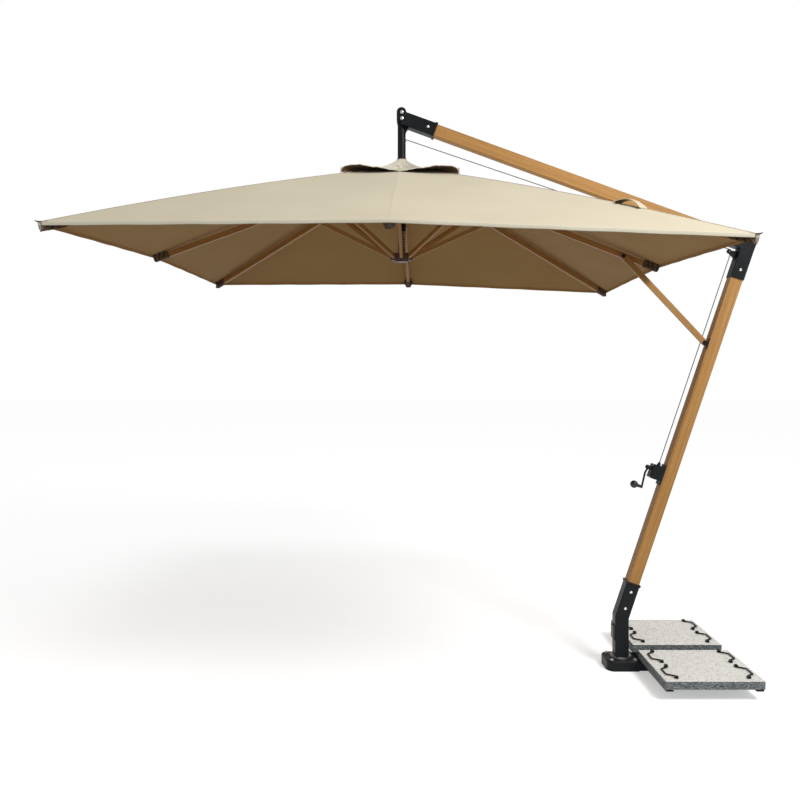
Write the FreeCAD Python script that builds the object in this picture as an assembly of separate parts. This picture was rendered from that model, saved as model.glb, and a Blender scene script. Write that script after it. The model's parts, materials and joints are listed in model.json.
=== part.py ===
import FreeCAD, Part

import math
import os

# Cantilever patio umbrella with a ballasted base. Millimetres, +Z up.
# Origin: the swivel axis on the ground. The post, mast, arm and canopy are drawn in the arm's own
# upright plane (X to the elbow, canopy towards -X) and then swung about the swivel axis.

V = FreeCAD.Vector
X_AXIS = V(1, 0, 0)
Y_AXIS = V(0, 1, 0)
Z_AXIS = V(0, 0, 1)

# --- swivel and arm plane -------------------------------------------------------------------------
SWING = -3.56  # degrees the arm plane is turned from the slabs' edges
LEAN = 18.385  # degrees, mast from upright
ARM_PITCH = 20.9  # degrees, arm below level towards the elbow
BEND_Z = 295.0  # where the mast axis leaves the post axis
CANOPY_X = -1280.0
ARM_HUB_Z = 3221.0  # arm axis at the canopy axis

# --- base -----------------------------------------------------------------------------------------
HUB_BOX = (-98.0, 84.0, 90.0, 56.5)  # low x, high x, half width, height
HUB_CORNER_R = 45.0
SPINDLE_R = 18.0
SPINDLE_FLANGE_R = 60.0
SPINDLE_FLANGE_TOP = 70.0
SPINDLE_TOP = 150.0
HUB_BOLT_X = 66.0
HUB_BOLT_Y = 62.0
SLAB_LOW_Z = 65.5
SLAB_HIGH_Z = 110.5
SLAB_X = (88.0, 611.0)
SLAB_Y = (46.0, 520.0)
FRAME_WALL = 4.0
FOOT_X = (190.0, 480.0)
FOOT_WIDTH = 40.0
FOOT_REACH = 350.0
EDGE_BAR = (40.0, 12.0)  # width, thickness
HANDLE_ROD_R = 4.0
HANDLE_BEND = 10.0
HANDLE_AXIS_INSET = 70.0  # hinge line from the slab's edge
HANDLE_BAR_INSET = 30.0
HANDLE_SPAN = 145.0
HANDLE_BAR = 78.0
HANDLE_OFFSET_Y = 116.0  # handle centre from the slab's centre
HANDLE_Z = SLAB_HIGH_Z + 7.0
SOCKET_SIZE = (18.0, 16.0, 15.0)

# --- post, mast and arm ---------------------------------------------------------------------------
WOOD_W = 70.0
WOOD_D = 76.0
SLEEVE_W = 78.0
SLEEVE_D = 86.0
SLEEVE_FIT = 0.2
COLLAR_STEP = 4.0
COLLAR_LENGTH = 15.0
POST_FOOT_Z = SPINDLE_FLANGE_TOP + 0.4
LOWER_SLEEVE_TOP = 211.0  # along the mast from the bend
MAST_START = 95.0
UPPER_SLEEVE = 209.0  # elbow bracket's reach along mast and arm
HEAD_SLEEVE_END = 216.0
ARM_START = 44.0
BOLT_R = 5.0
BOLT_HEAD = 7.0
HEAD_W = 56.0
HEAD_ROUND_Z = 3252.0
HEAD_LOW_Z = 3198.0
GUSSET_R = 30.0
GUSSET_LOW_Z = 3133.0

# --- stub pole, rope and pulleys ------------------------------------------------------------------
STUB_R = 24.0
STUB_BORE_R = 20.5
STUB_LOW_Z = 2557.0
STUB_HIGH_Z = 3262.0
ROPE_R = 2.5
PULLEY_R = 12.0  # to the rope's centre
PULLEY_FLANGE_R = 13.5
PULLEY_HALF_W = 5.0
PULLEY_AXLE_R = 2.5
HEAD_PULLEY_Z = 3090.0
ELBOW_PULLEY_T = 2212.0
MAST_ROPE_OFFSET = 70.0

# --- canopy fold ----------------------------------------------------------------------------------
HALF_X = 1500.0
HALF_Y = 1510.0
RIM_Z = 2346.3
RIM_MID_RISE = 36.2
RIM_FALL = 0.0263  # the rim comes down this much per millimetre towards the mast
RIB_PIVOT_R = 55.0
RIB_PIVOT_Z = 2900.0
RIB_W = 22.0
RIB_D = 32.0
RIB_TIP_GAP = 10.0
STRUT_PIVOT_R = 60.0
STRUT_PIVOT_Z = 2400.0
STRUT_W = 18.0
STRUT_D = 24.0
STRUT_DROP = 34.0  # strut pivot below the rib's centreline
FOLD_TRAVEL = 700.0
FOLDED_ANGLE = 84.0
COVER_GAP = 24.0  # fabric above the rib's centreline
FABRIC = 1.2
CAP_HALF = 330.0
CAP_TOP_Z = 2978.0
CAP_GAP = (48.0, 30.0)  # above the canopy at side middles and corners
RIB_PIN_R = 3.0
RUNNING = 0.05

# --- winch and brace ------------------------------------------------------------------------------
WINCH_T = (822.0, 904.0)
WINCH_PLATE_T = (798.0, 919.0)
WINCH_Y = (-50.0, 26.0)
WINCH_REACH = 111.0
CRANK_T = 877.0
CRANK_THROW = 121.0
DRUM_TURNS = 6
HOUSING_WALL = 4.0
SHAFT_R = 8.0
KNOB_CENTRE = 174.0
KNOB_R = 22.0
BRACE_T = 1662.0
BRACE_PIVOT_OFFSET = 55.0
BRACE_Y = -28.0
BRACE_END = (8.7, 2394.0)

SIN_LEAN = math.sin(math.radians(LEAN))
COS_LEAN = math.cos(math.radians(LEAN))
SIN_ARM = math.sin(math.radians(ARM_PITCH))
COS_ARM = math.cos(math.radians(ARM_PITCH))
DRUM_R = FOLD_TRAVEL / (2 * math.pi * DRUM_TURNS)  # to the rope's centre
DRUM_Y = -DRUM_R
HEAD_PULLEY_X = CANOPY_X + PULLEY_R
ELBOW_PULLEY_OFFSET = -MAST_ROPE_OFFSET - PULLEY_R
PULLEY_SEAT_R = PULLEY_R - ROPE_R - 0.5


def elbow_point():
    """Where the mast and arm axes cross, as (x, z)."""
    slope = SIN_ARM / COS_ARM
    x = (ARM_HUB_Z + slope * CANOPY_X - BEND_Z) / (COS_LEAN / SIN_LEAN + slope)
    return x, BEND_Z + x * COS_LEAN / SIN_LEAN


ELBOW_X, ELBOW_Z = elbow_point()
ELBOW_T = ELBOW_X / SIN_LEAN  # from the bend, along the mast
ARM_LENGTH = (ELBOW_X - CANOPY_X) / COS_ARM

ALONG_MAST = FreeCAD.Placement(V(0, 0, BEND_Z), FreeCAD.Rotation(Y_AXIS, LEAN))
ALONG_ARM = FreeCAD.Placement(V(CANOPY_X, 0, ARM_HUB_Z), FreeCAD.Rotation(Y_AXIS, ARM_PITCH))


# --- small helpers --------------------------------------------------------------------------------
def block(x0, x1, y0, y1, z0, z1):
    return Part.makeBox(x1 - x0, y1 - y0, z1 - z0, V(x0, y0, z0))


def rod(radius, start, end):
    along = end - start
    return Part.makeCylinder(radius, along.Length, start, along)


def bent_rod(radius, points, bend):
    """Round rod along straight runs, with the corners bent to one radius."""
    edges = []
    start = points[0]
    for before, corner, after in zip(points, points[1:], points[2:]):
        back = (before - corner).normalize()
        ahead = (after - corner).normalize()
        half = back.getAngle(ahead) / 2
        reach = bend / math.tan(half)
        middle = corner + (back + ahead).normalize() * (bend / math.sin(half) - bend)
        edges.append(Part.LineSegment(start, corner + back * reach))
        edges.append(Part.Arc(corner + back * reach, middle, corner + ahead * reach))
        start = corner + ahead * reach
    edges.append(Part.LineSegment(start, points[-1]))
    path = Part.Wire([edge.toShape() for edge in edges])
    profile = Part.Wire(Part.makeCircle(radius, points[0], points[1] - points[0]))
    return Part.Solid(path.makePipeShell([profile], True, False))


def ring(outer, inner, z0, z1):
    return rod(outer, V(0, 0, z0), V(0, 0, z1)).cut(rod(inner, V(0, 0, z0 - 1), V(0, 0, z1 + 1)))


def placed(shape, placement):
    moved = shape.copy()
    moved.Placement = placement.multiply(moved.Placement)
    return moved


def on_mast(shape):
    return placed(shape, ALONG_MAST)


def on_arm(shape):
    return placed(shape, ALONG_ARM)


def at_canopy(shape):
    return placed(shape, FreeCAD.Placement(V(CANOPY_X, 0, 0), FreeCAD.Rotation()))


def mast_point(across, y, along):
    return ALONG_MAST.multVec(V(across, y, along))


def upright_edges(shape):
    return [e for e in shape.Edges if abs(e.tangentAt(e.FirstParameter).z) > 0.999]


def save(name, shape, swung=True):
    solids = shape.Solids
    out = solids[0] if len(solids) == 1 else Part.makeCompound(solids)
    if swung:
        out = placed(out, FreeCAD.Placement(V(), FreeCAD.Rotation(Z_AXIS, SWING)))
    out.exportStep(f"parts/{name}.step")


def hex_head(flats, height, at, up):
    """Hexagon head standing on a point, with a domed top."""
    corner = flats / math.sqrt(3)
    turns = [math.pi * i / 3 for i in range(7)]
    points = [V(corner * math.cos(turn), corner * math.sin(turn), 0) for turn in turns]
    head = Part.Face(Part.makePolygon(points)).extrude(V(0, 0, height))
    dome = Part.makeSphere(flats * 0.9, V(0, 0, height - flats * 0.9 + 0.6))
    return placed(head.common(dome), FreeCAD.Placement(at, FreeCAD.Rotation(Z_AXIS, up)))


# --- base -----------------------------------------------------------------------------------------
def base_hub():
    low_x, high_x, half, height = HUB_BOX
    hub = block(low_x, high_x, -half, half, 0, height)
    hub = hub.makeFillet(HUB_CORNER_R, [e for e in upright_edges(hub) if e.CenterOfMass.x < low_x + 1])
    top = [e for e in hub.Edges if e.CenterOfMass.z > height - 0.1 and e.CenterOfMass.x < high_x - 1]
    hub = hub.makeChamfer(4, top)
    return hub.cut(rod(SPINDLE_R, V(0, 0, 10), V(0, 0, height + 1)))


def swivel_spindle():
    low = HUB_BOX[3]
    shaft = rod(SPINDLE_R, V(0, 0, 10), V(0, 0, SPINDLE_TOP))
    return shaft.fuse(rod(SPINDLE_FLANGE_R, V(0, 0, low), V(0, 0, SPINDLE_FLANGE_TOP))).removeSplitter()


def base_bolts():
    low = HUB_BOX[3]
    bolts = []
    for x in (-HUB_BOLT_X, HUB_BOLT_X):
        for y in (-HUB_BOLT_Y, HUB_BOLT_Y):
            washer = rod(12, V(x, y, low), V(x, y, low + 2))
            bolts.append(washer.fuse(hex_head(18, 8, V(x, y, low + 2), Z_AXIS)))
    return Part.makeCompound(bolts)


def base_frame():
    """Box tubes: a spine in the gap between the slabs, two feet across it and two flat edge bars."""
    wall = FRAME_WALL
    bar_z = SLAB_LOW_Z - EDGE_BAR[1]
    link = block(HUB_BOX[1], 140, -78, 78, 0, bar_z)
    spine = block(140, SLAB_X[1] - 20, -30, 30, 0, SLAB_LOW_Z)
    frame = link.fuse(spine)
    hollows = [block(HUB_BOX[1] + wall, 140 - wall, -78 + wall, 78 - wall, wall, bar_z - wall),
               block(140, SLAB_X[1] - 20 - wall, -30 + wall, 30 - wall, wall, SLAB_LOW_Z - wall)]
    for x in FOOT_X:
        frame = frame.fuse(block(x, x + FOOT_WIDTH, -FOOT_REACH, FOOT_REACH, 0, SLAB_LOW_Z))
        for y0, y1 in ((-FOOT_REACH + wall, -30), (30, FOOT_REACH - wall)):
            hollows.append(block(x + wall, x + FOOT_WIDTH - wall, y0, y1, wall, SLAB_LOW_Z - wall))
    for x in (SLAB_X[0] + 4, SLAB_X[1] - EDGE_BAR[0] - 4):
        reach = SLAB_Y[1] - 5
        frame = frame.fuse(block(x, x + EDGE_BAR[0], -reach, reach, bar_z, SLAB_LOW_Z))
    for hollow in hollows:
        frame = frame.cut(hollow)
    return frame.removeSplitter()


def slab(side):
    y0, y1 = sorted((side * SLAB_Y[0], side * SLAB_Y[1]))
    stone = block(SLAB_X[0], SLAB_X[1], y0, y1, SLAB_LOW_Z, SLAB_HIGH_Z)
    return stone.makeChamfer(2.5, [e for e in stone.Edges if e.CenterOfMass.z > SLAB_HIGH_Z - 0.1])


def handle_places():
    """(hinge x, bar x, centre y) of each slab handle."""
    middle = (SLAB_Y[0] + SLAB_Y[1]) / 2
    left, right = SLAB_X
    for side in (-1, 1):
        for shift in (-HANDLE_OFFSET_Y, HANDLE_OFFSET_Y):
            y = side * middle + shift
            yield left + HANDLE_AXIS_INSET, left + HANDLE_BAR_INSET, y
            yield right - HANDLE_AXIS_INSET, right - HANDLE_BAR_INSET, y


def handle_sockets():
    length, width, height = SOCKET_SIZE
    sockets = []
    for hinge_x, _, y in handle_places():
        for end in (-1, 1):
            centre = y + end * (HANDLE_SPAN / 2 + width / 2 + 1)
            body = block(hinge_x - length / 2, hinge_x + length / 2,
                         centre - width / 2, centre + width / 2,
                         SLAB_HIGH_Z, SLAB_HIGH_Z + height)
            top = SLAB_HIGH_Z + height
            body = body.makeChamfer(3, [e for e in body.Edges if e.CenterOfMass.z > top - 0.1])
            hole = rod(HANDLE_ROD_R + RUNNING, V(hinge_x, centre - width, HANDLE_Z),
                       V(hinge_x, centre + width, HANDLE_Z))
            sockets.append(body.cut(hole))
    return Part.makeCompound(sockets)


def handle(hinge_x, bar_x, y):
    """Bail of bent rod, lying towards the slab's edge."""
    pin = HANDLE_SPAN / 2 + 1 + SOCKET_SIZE[1] * 0.8
    half = [V(hinge_x, pin, HANDLE_Z),
            V(hinge_x, HANDLE_SPAN / 2 - 8, HANDLE_Z),
            V(bar_x, HANDLE_BAR / 2, HANDLE_Z)]
    mirrored = [V(p.x, -p.y, p.z) for p in reversed(half)]
    return bent_rod(HANDLE_ROD_R, [p + V(0, y, 0) for p in half + mirrored], HANDLE_BEND)


# --- post, mast and arm ---------------------------------------------------------------------------
def through_bolt_places():
    """(frame, point) of each bolt that clamps a sleeve to its beam."""
    yield ALONG_MAST, V(0, 0, 158)
    yield ALONG_MAST, V(0, 0, ELBOW_T - 157)
    yield ALONG_ARM, V(167, 0, 0)
    yield ALONG_ARM, V(ARM_LENGTH - 157, 0, 0)


def sleeve_bolts():
    half = SLEEVE_D / 2
    bolts = []
    for frame, point in through_bolt_places():
        bolt = rod(BOLT_R, V(0, -half, 0), V(0, half, 0))
        bolt = bolt.fuse(hex_head(15, BOLT_HEAD, V(0, -half, 0), V(0, -1, 0)))
        bolt = bolt.fuse(hex_head(15, BOLT_HEAD, V(0, half, 0), V(0, 1, 0)))
        bolts.append(placed(bolt, frame.multiply(FreeCAD.Placement(point, FreeCAD.Rotation()))))
    lug = placed(hex_head(15, BOLT_HEAD, V(0, -half, 0), V(0, -1, 0)),
                 ALONG_MAST.multiply(FreeCAD.Placement(V(0, 0, 58), FreeCAD.Rotation())))
    return Part.makeCompound(bolts + [lug])


def bolt_holes():
    holes = []
    for frame, point in through_bolt_places():
        hole = rod(BOLT_R + RUNNING, V(0, -SLEEVE_D, 0), V(0, SLEEVE_D, 0))
        holes.append(placed(hole, frame.multiply(FreeCAD.Placement(point, FreeCAD.Rotation()))))
    return Part.makeCompound(holes)


def sleeve(start, end, collar_at=None):
    """Square sleeve about +Z with an optional proud rim, solid inside."""
    body = block(-SLEEVE_W / 2, SLEEVE_W / 2, -SLEEVE_D / 2, SLEEVE_D / 2, start, end)
    body = body.makeFillet(5, upright_edges(body))
    if collar_at is None:
        return body
    wide = SLEEVE_W / 2 + COLLAR_STEP
    deep = SLEEVE_D / 2 + COLLAR_STEP
    rim = block(-wide, wide, -deep, deep, collar_at, collar_at + COLLAR_LENGTH)
    rim = rim.makeFillet(3, rim.Edges)
    return body.fuse(rim)


def pocket(start, end):
    wide = WOOD_W / 2 + SLEEVE_FIT
    deep = WOOD_D / 2 + SLEEVE_FIT
    return block(-wide, wide, -deep, deep, start, end)


def lower_post():
    wide = SLEEVE_W / 2
    deep = SLEEVE_D / 2
    shift = wide * math.tan(math.radians(LEAN / 2))
    bend_left = mast_point(-wide, 0, -shift)
    bend_right = mast_point(wide, 0, shift)
    top_left = mast_point(-wide, 0, LOWER_SLEEVE_TOP - 1)
    top_right = mast_point(wide, 0, LOWER_SLEEVE_TOP - 1)
    outline = [V(-wide, 0, POST_FOOT_Z), bend_left, top_left,
               top_right, bend_right, V(wide, 0, POST_FOOT_Z)]
    points = [V(p.x, -deep, p.z) for p in outline]
    post = Part.Face(Part.makePolygon(points + points[:1])).extrude(V(0, 2 * deep, 0))
    long_edges = [e for e in post.Edges if abs(e.tangentAt(e.FirstParameter).y) < 0.1
                  and 120 < e.Length and abs(e.CenterOfMass.y) > deep - 1]
    post = post.makeFillet(5, [e for e in long_edges if e.CenterOfMass.z > POST_FOOT_Z + 1])
    rim_low = LOWER_SLEEVE_TOP - COLLAR_LENGTH
    rim = block(-wide - COLLAR_STEP, wide + COLLAR_STEP, -deep - COLLAR_STEP, deep + COLLAR_STEP,
                rim_low, LOWER_SLEEVE_TOP)
    post = post.fuse(on_mast(rim.makeFillet(3, rim.Edges)))
    post = post.cut(on_mast(pocket(MAST_START - 0.5, LOWER_SLEEVE_TOP + 5)))
    wall = 5.0
    hollow = block(-wide + wall, wide - wall, -deep + wall, deep - wall, POST_FOOT_Z + 9, BEND_Z - 30)
    post = post.cut(hollow)
    post = post.cut(rod(SPINDLE_R + RUNNING, V(0, 0, 0), V(0, 0, 100)))
    return post.cut(bolt_holes())


def cover_plate():
    face = -SLEEVE_W / 2
    points = [V(face, -28, 152), V(face - 11, -28, 166), V(face - 11, -28, 242), V(face, -28, 242)]
    plate = Part.Face(Part.makePolygon(points + points[:1])).extrude(V(0, 56, 0))
    edges = [e for e in plate.Edges if e.CenterOfMass.x < face - 4 and abs(e.CenterOfMass.y) < 1]
    return plate.makeFillet(2.5, edges)


def beam(start, end):
    wood = block(-WOOD_W / 2, WOOD_W / 2, -WOOD_D / 2, WOOD_D / 2, start, end)
    return wood.makeFillet(4, upright_edges(wood))


def mast():
    return on_mast(beam(MAST_START, ELBOW_T + 25)).cut(bolt_holes())


def arm_turned(shape):
    """A shape drawn along +Z, laid along the arm."""
    return on_arm(placed(shape, FreeCAD.Placement(V(), FreeCAD.Rotation(Y_AXIS, 90))))


def arm():
    return arm_turned(beam(ARM_START, ARM_LENGTH - WOOD_W / 2 - 7)).cut(bolt_holes())


def elbow_bracket():
    upright = on_mast(sleeve(ELBOW_T - UPPER_SLEEVE, ELBOW_T + SLEEVE_W / 2, None))
    level = arm_turned(sleeve(ARM_LENGTH - UPPER_SLEEVE, ARM_LENGTH + SLEEVE_W / 2,
                              ARM_LENGTH - UPPER_SLEEVE))
    bracket = upright.fuse(level)
    bracket = bracket.cut(on_mast(pocket(ELBOW_T - UPPER_SLEEVE - 5, ELBOW_T + 25.5)))
    bracket = bracket.cut(arm_turned(pocket(ARM_LENGTH - UPPER_SLEEVE - 5, ARM_LENGTH - WOOD_W / 2 - 6)))
    return bracket.cut(bolt_holes())


def head_bracket():
    deep = SLEEVE_D / 2
    half = HEAD_W / 2
    head = at_canopy(block(-half, half, -deep, deep, HEAD_LOW_Z, HEAD_ROUND_Z))
    head = head.fuse(at_canopy(rod(half, V(0, -deep, HEAD_ROUND_Z), V(0, deep, HEAD_ROUND_Z))))
    head = head.fuse(head_gusset())
    head = head.fuse(arm_turned(sleeve(8, HEAD_SLEEVE_END, HEAD_SLEEVE_END - COLLAR_LENGTH)))
    head = head.cut(arm_turned(pocket(ARM_START - 0.5, HEAD_SLEEVE_END + 5)))
    head = head.cut(at_canopy(rod(STUB_R + 0.1, V(0, 0, 3050), V(0, 0, STUB_HIGH_Z + 0.5))))
    for screw in head_screws().Solids:
        head = head.cut(screw)
    return head.cut(bolt_holes())


def head_gusset():
    """Hollow-cornered web between the stub pole and the underside of the sleeve."""
    low = GUSSET_LOW_Z
    corner = V(STUB_R + GUSSET_R, 0, low)
    web = block(STUB_R - 4, corner.x, -16, 16, low, low + GUSSET_R + 12)
    web = web.cut(rod(GUSSET_R, corner - Y_AXIS * 20, corner + Y_AXIS * 20))
    return at_canopy(web)


def head_screws():
    face = SLEEVE_D / 2
    screws = []
    for side in (-1, 1):
        for z in (3214, 3250):
            shank = rod(6, V(3, side * (face - 14), z), V(3, side * face, z))
            screws.append(at_canopy(shank.fuse(hex_head(19, 8, V(3, side * face, z), V(0, side, 0)))))
    return Part.makeCompound(screws)


# --- stub pole, pulleys and rope ------------------------------------------------------------------
def stub_pole():
    pole = at_canopy(ring(STUB_R, STUB_BORE_R, STUB_LOW_Z, STUB_HIGH_Z))
    slot = block(HEAD_PULLEY_X, HEAD_PULLEY_X + 30, -6.5, 6.5, HEAD_PULLEY_Z - 16, HEAD_PULLEY_Z + 26)
    axle = V(HEAD_PULLEY_X, 0, HEAD_PULLEY_Z)
    hole = rod(PULLEY_AXLE_R + RUNNING, axle - Y_AXIS * 40, axle + Y_AXIS * 40)
    return pole.cut(slot).cut(hole).cut(stop_hole())


def stop_hole():
    return at_canopy(rod(3, V(STUB_BORE_R - 1, 0, STUB_LOW_Z + 16), V(STUB_R + 11, 0, STUB_LOW_Z + 16)))


def stub_stop_screw():
    head = at_canopy(rod(5, V(STUB_R + 5, 0, STUB_LOW_Z + 16), V(STUB_R + 11, 0, STUB_LOW_Z + 16)))
    return stop_hole().fuse(head).removeSplitter()


def pulley(centre):
    sheave = rod(PULLEY_FLANGE_R, centre - Y_AXIS * PULLEY_HALF_W, centre + Y_AXIS * PULLEY_HALF_W)
    groove = rod(PULLEY_FLANGE_R + 1, centre - Y_AXIS * 3, centre + Y_AXIS * 3)
    groove = groove.cut(rod(PULLEY_SEAT_R, centre - Y_AXIS * 4, centre + Y_AXIS * 4))
    bore = rod(PULLEY_AXLE_R + RUNNING, centre - Y_AXIS * 9, centre + Y_AXIS * 9)
    return sheave.cut(groove).cut(bore)


def head_pulley_centre():
    return V(HEAD_PULLEY_X, 0, HEAD_PULLEY_Z)


def elbow_pulley_centre():
    return mast_point(ELBOW_PULLEY_OFFSET, 0, ELBOW_PULLEY_T)


def pulley_axles():
    head = head_pulley_centre()
    elbow = elbow_pulley_centre()
    return Part.makeCompound([rod(PULLEY_AXLE_R, head - Y_AXIS * 23, head + Y_AXIS * 23),
                              rod(PULLEY_AXLE_R, elbow - Y_AXIS * 12, elbow + Y_AXIS * 12)])


def pulley_bracket():
    face = -SLEEVE_W / 2
    ears = block(face - 4, face, -14, 14, ELBOW_PULLEY_T - 40, ELBOW_PULLEY_T + 16)
    for y in (-9, 6):
        outline = [V(face, y, ELBOW_PULLEY_T - 34), V(ELBOW_PULLEY_OFFSET - 5, y, ELBOW_PULLEY_T - 7),
                   V(ELBOW_PULLEY_OFFSET - 5, y, ELBOW_PULLEY_T + 7), V(face, y, ELBOW_PULLEY_T + 12)]
        ears = ears.fuse(Part.Face(Part.makePolygon(outline + outline[:1])).extrude(V(0, 3, 0)))
    axle = V(ELBOW_PULLEY_OFFSET, 0, ELBOW_PULLEY_T)
    ears = ears.cut(rod(PULLEY_AXLE_R, axle - Y_AXIS * 20, axle + Y_AXIS * 20))
    return on_mast(ears)


def wrap_corner(centre, side_in, side_out):
    """Where the straight runs on either side of a pulley would cross."""
    return centre + (side_in + side_out) * (PULLEY_R / (1 + side_in.dot(side_out)))


def hoist_rope():
    """Over the head pulley, down beside the arm, round the elbow pulley and down to the winch drum."""
    head = head_pulley_centre()
    elbow = elbow_pulley_centre()
    run = (elbow - head).normalize()
    above_run = V(-run.z, 0, run.x)
    rise = V(COS_ARM, 0, SIN_ARM)
    before_head = V(-SIN_ARM, 0, COS_ARM)
    mast_side = V(COS_LEAN, 0, -SIN_LEAN)
    points = [head + before_head * PULLEY_R - rise * 2,
              wrap_corner(head, before_head, above_run),
              wrap_corner(elbow, above_run, mast_side),
              mast_point(-MAST_ROPE_OFFSET, 0, CRANK_T)]
    return bent_rod(ROPE_R, points, PULLEY_R)


# --- winch ----------------------------------------------------------------------------------------
def winch_housing():
    inner_face = -WOOD_W / 2
    plate = block(inner_face - 8, inner_face, -38, 38, *WINCH_PLATE_T)
    y0, y1 = WINCH_Y
    t0, t1 = WINCH_T
    case = block(-WINCH_REACH, inner_face - 8, y0, y1, t0, t1)
    case = case.makeFillet(7, [e for e in case.Edges if abs(e.CenterOfMass.x + WINCH_REACH) < 0.1])
    wall = HOUSING_WALL
    room = block(-WINCH_REACH + wall, inner_face - 8 - wall, y0 + wall, y1 - wall, t0 + wall, t1 - wall)
    case = case.cut(room)
    case = case.cut(rod(SHAFT_R + RUNNING, V(-WINCH_REACH - 1, DRUM_Y, CRANK_T), V(-60, DRUM_Y, CRANK_T)))
    case = case.cut(rod(5, V(-MAST_ROPE_OFFSET, 0, t1 - 10), V(-MAST_ROPE_OFFSET, 0, t1 + 1)))
    return on_mast(plate.fuse(case).removeSplitter())


def rope_guide():
    top = WINCH_T[1]
    cone = Part.makeCone(12, 5, 21, V(-MAST_ROPE_OFFSET, 0, top))
    bore = rod(ROPE_R + 0.6, V(-MAST_ROPE_OFFSET, 0, top - 1), V(-MAST_ROPE_OFFSET, 0, top + 30))
    return on_mast(cone.cut(bore))


def winch_drum():
    def turned(radius, start, end):
        return rod(radius, V(-start, DRUM_Y, CRANK_T), V(-end, DRUM_Y, CRANK_T))

    drum = turned(DRUM_R - ROPE_R - 0.6, 49, 91)
    drum = drum.fuse(turned(DRUM_R + 2, 49, 52)).fuse(turned(DRUM_R + 2, 88, 91))
    drum = drum.fuse(turned(SHAFT_R, 90, 122))
    return on_mast(drum.removeSplitter())


def crank():
    end_t = CRANK_T - CRANK_THROW
    hub = rod(12, V(-WINCH_REACH - 1.5, DRUM_Y, CRANK_T), V(-WINCH_REACH - 27, DRUM_Y, CRANK_T))
    hub = hub.cut(rod(SHAFT_R, V(-WINCH_REACH, DRUM_Y, CRANK_T), V(-122, DRUM_Y, CRANK_T)))
    outline = [V(-123, 0, CRANK_T + 8), V(-131, 0, CRANK_T + 8), V(-140, 0, CRANK_T - 36),
               V(-131, 0, end_t - 8), V(-123, 0, end_t - 8), V(-132, 0, CRANK_T - 36)]
    points = [V(p.x, DRUM_Y - 7, p.z) for p in outline]
    lever = Part.Face(Part.makePolygon(points + points[:1])).extrude(V(0, 14, 0))
    lever = lever.cut(rod(SHAFT_R, V(-WINCH_REACH, DRUM_Y, CRANK_T), V(-122, DRUM_Y, CRANK_T)))
    pin = rod(4, V(-125, DRUM_Y, end_t), V(-KNOB_CENTRE - 8, DRUM_Y, end_t))
    return on_mast(hub.fuse(lever).fuse(pin).removeSplitter())


def crank_knob():
    end_t = CRANK_T - CRANK_THROW
    ball = Part.makeSphere(KNOB_R, V(-KNOB_CENTRE, DRUM_Y, end_t))
    stem = Part.makeCone(8, 11, 26, V(-134, DRUM_Y, end_t), V(-1, 0, 0))
    bore = rod(4 + RUNNING, V(-120, DRUM_Y, end_t), V(-KNOB_CENTRE - 8.5, DRUM_Y, end_t))
    return on_mast(ball.fuse(stem).cut(bore).removeSplitter())


# --- canopy ---------------------------------------------------------------------------------------
def rim_points():
    """The eight rim points from the canopy's axis: side middles and corners in turn."""
    corners = [(1, 0), (1, 1), (0, 1), (-1, 1), (-1, 0), (-1, -1), (0, -1), (1, -1)]
    for i, (across, away) in enumerate(corners):
        x = across * HALF_X
        y = away * HALF_Y
        z = RIM_Z - RIM_FALL * x
        if i % 2 == 0:
            z += RIM_MID_RISE
        yield V(x, y, z)


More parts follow.
